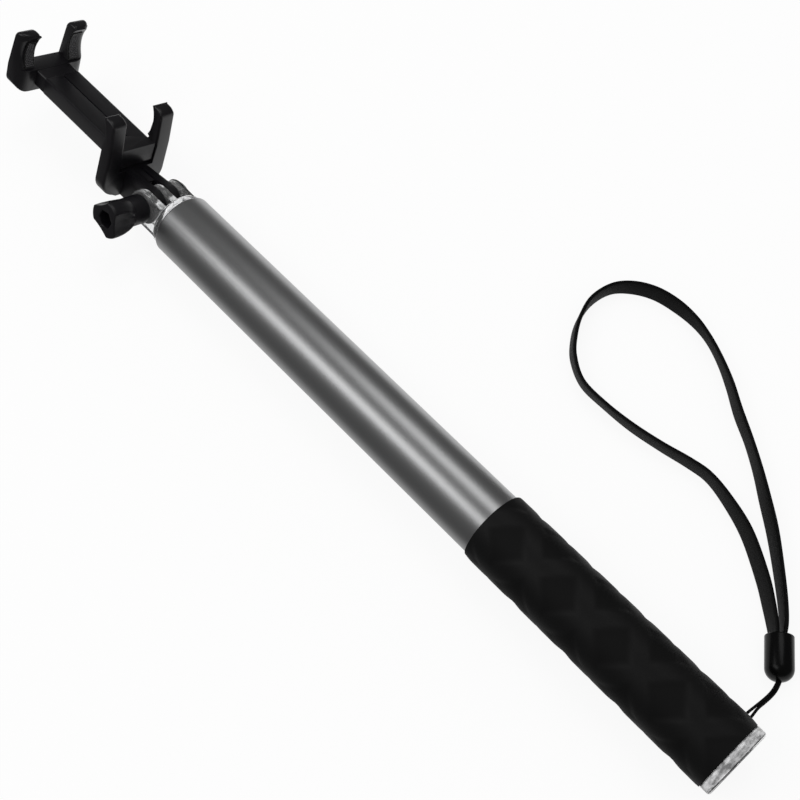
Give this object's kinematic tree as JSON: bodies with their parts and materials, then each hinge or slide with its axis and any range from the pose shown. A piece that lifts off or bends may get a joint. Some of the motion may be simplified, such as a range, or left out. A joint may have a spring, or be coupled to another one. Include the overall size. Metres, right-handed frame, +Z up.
{
  "type": "selfie stick",
  "caption": "Collapsed telescopic selfie stick with a patterned grip, clear tilting head, thumb knob, sprung phone clamp and a wrist strap.",
  "frame": {"origin": "middle of the end cap's outer flat face, on the pole's axis", "axes": "+X along the pole from the end cap to the phone clamp, +Z up as the stick lies, +Y to the side away from the strap"},
  "size_m": [0.3248, 0.1264, 0.041],
  "materials": {
    "anodised": "satin anodised, fine lengthwise grain",
    "inner_tubes": "satin anodised",
    "grip": "matt with raised crossing bands",
    "clear": "clear, polished",
    "steel": "bright plated",
    "screws": "blackened",
    "bush": "moulded",
    "collet": "moulded, natural",
    "knob": "moulded, fine satin texture",
    "clamp": "moulded, smooth",
    "pad": "dotted anti-slip texture",
    "webbing": "woven",
    "cord": "braided",
    "crimp": "moulded, polished"
  },
  "bodies": {
    "pole": {"outer_tube": "anodised", "grip_sleeve": "grip", "end_cap": "clear", "strap_pin": "steel", "mouth_bush": "bush", "strap_web": "webbing", "strap_crimp": "crimp", "strap_cord": "cord"},
    "lower_lock": {"lower_lock_sleeve": "collet"},
    "middle_section": {"middle_tube": "inner_tubes", "middle_bush": "bush", "lower_lock_core": "bush"},
    "upper_lock": {"upper_lock_sleeve": "collet"},
    "inner_section": {"inner_tube": "inner_tubes", "upper_lock_core": "bush", "head_mount": "clear", "pivot_nut": "steel"},
    "knob": {"pivot_knob": "knob", "pivot_screw": "steel"},
    "phone_clamp": {"clamp_body": "clamp", "clamp_cover": "clamp", "cover_screws": "screws", "spring_post_fixed": "steel", "clamp_spring": "steel", "lower_left_pad": "pad", "lower_right_pad": "pad"},
    "upper_jaw": {"clamp_slider": "clamp", "spring_post_moving": "steel", "upper_left_pad": "pad", "upper_right_pad": "pad"}
  },
  "joints": [
    {"name": "middle_slide", "type": "slide", "parent": "pole", "child": "lower_lock", "axis": [1, 0, 0], "range_m": [0, 0.19]},
    {"name": "middle_twist", "type": "hinge", "parent": "lower_lock", "child": "middle_section", "pos_m": [0, 0, 0], "axis": [1, 0, 0], "range_deg": [0, 180]},
    {"name": "inner_slide", "type": "slide", "parent": "middle_section", "child": "upper_lock", "axis": [1, 0, 0], "range_m": [0, 0.16]},
    {"name": "inner_twist", "type": "hinge", "parent": "upper_lock", "child": "inner_section", "pos_m": [0, 0, 0], "axis": [1, 0, 0], "range_deg": [0, 180]},
    {"name": "knob_turn", "type": "hinge", "parent": "inner_section", "child": "knob", "pos_m": [0.255, 0, 0], "axis": [0, 0.9026, 0.4305], "continuous": true},
    {"name": "holder_tilt", "type": "hinge", "parent": "inner_section", "child": "phone_clamp", "pos_m": [0.255, 0, 0], "axis": [0, -0.9026, -0.4305], "range_deg": [-90, 90]},
    {"name": "jaw_slide", "type": "slide", "parent": "phone_clamp", "child": "upper_jaw", "axis": [1, 0, 0], "range_m": [0, 0.03], "stiffness_N_per_m": 150, "springref_m": -0.03, "deforming": ["clamp_spring"]}
  ]
}
